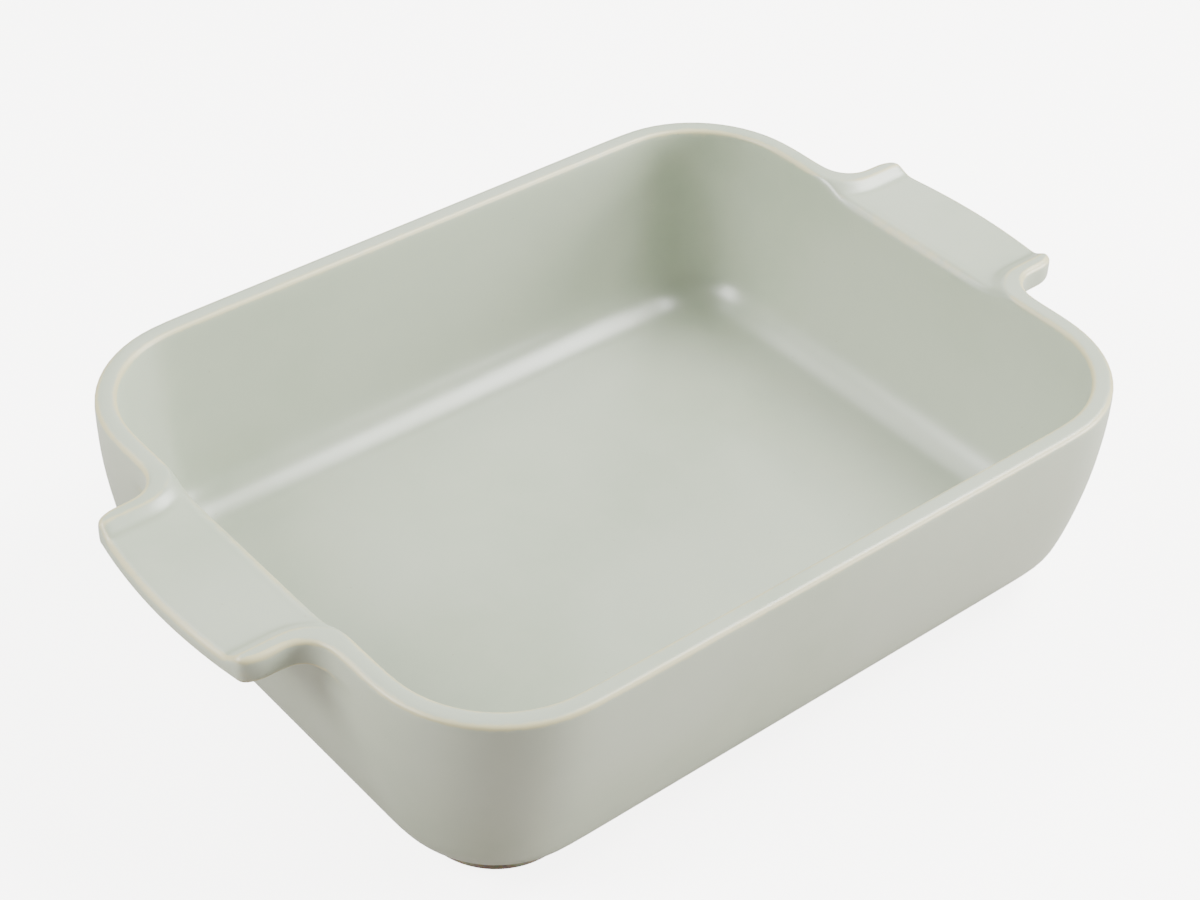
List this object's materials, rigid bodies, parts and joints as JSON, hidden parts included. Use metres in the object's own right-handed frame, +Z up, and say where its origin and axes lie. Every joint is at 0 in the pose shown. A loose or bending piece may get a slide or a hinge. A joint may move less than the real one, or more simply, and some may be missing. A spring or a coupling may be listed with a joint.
{
  "type": "lasagna dish",
  "caption": "Rectangular glazed stoneware baking dish with deep bowed walls, a flat rim, a lug at each short side with a lowered thumb plate, and a bare foot ring.",
  "frame": {"origin": "centre of the dish's outline, at the surface the foot ring stands on", "axes": "+X along the dish from lug to lug, +Y across it, +Z up out of its mouth; both upright planes through the origin are planes of symmetry"},
  "size_m": [0.392, 0.2586, 0.092],
  "materials": {
    "bare_stoneware": "matt, fired bare clay",
    "glaze": "satin, pale sage grey-green"
  },
  "bodies": {
    "root": {"stoneware_body": "bare_stoneware", "glaze_coat": "glaze", "base_glaze": "glaze"}
  },
  "joints": []
}
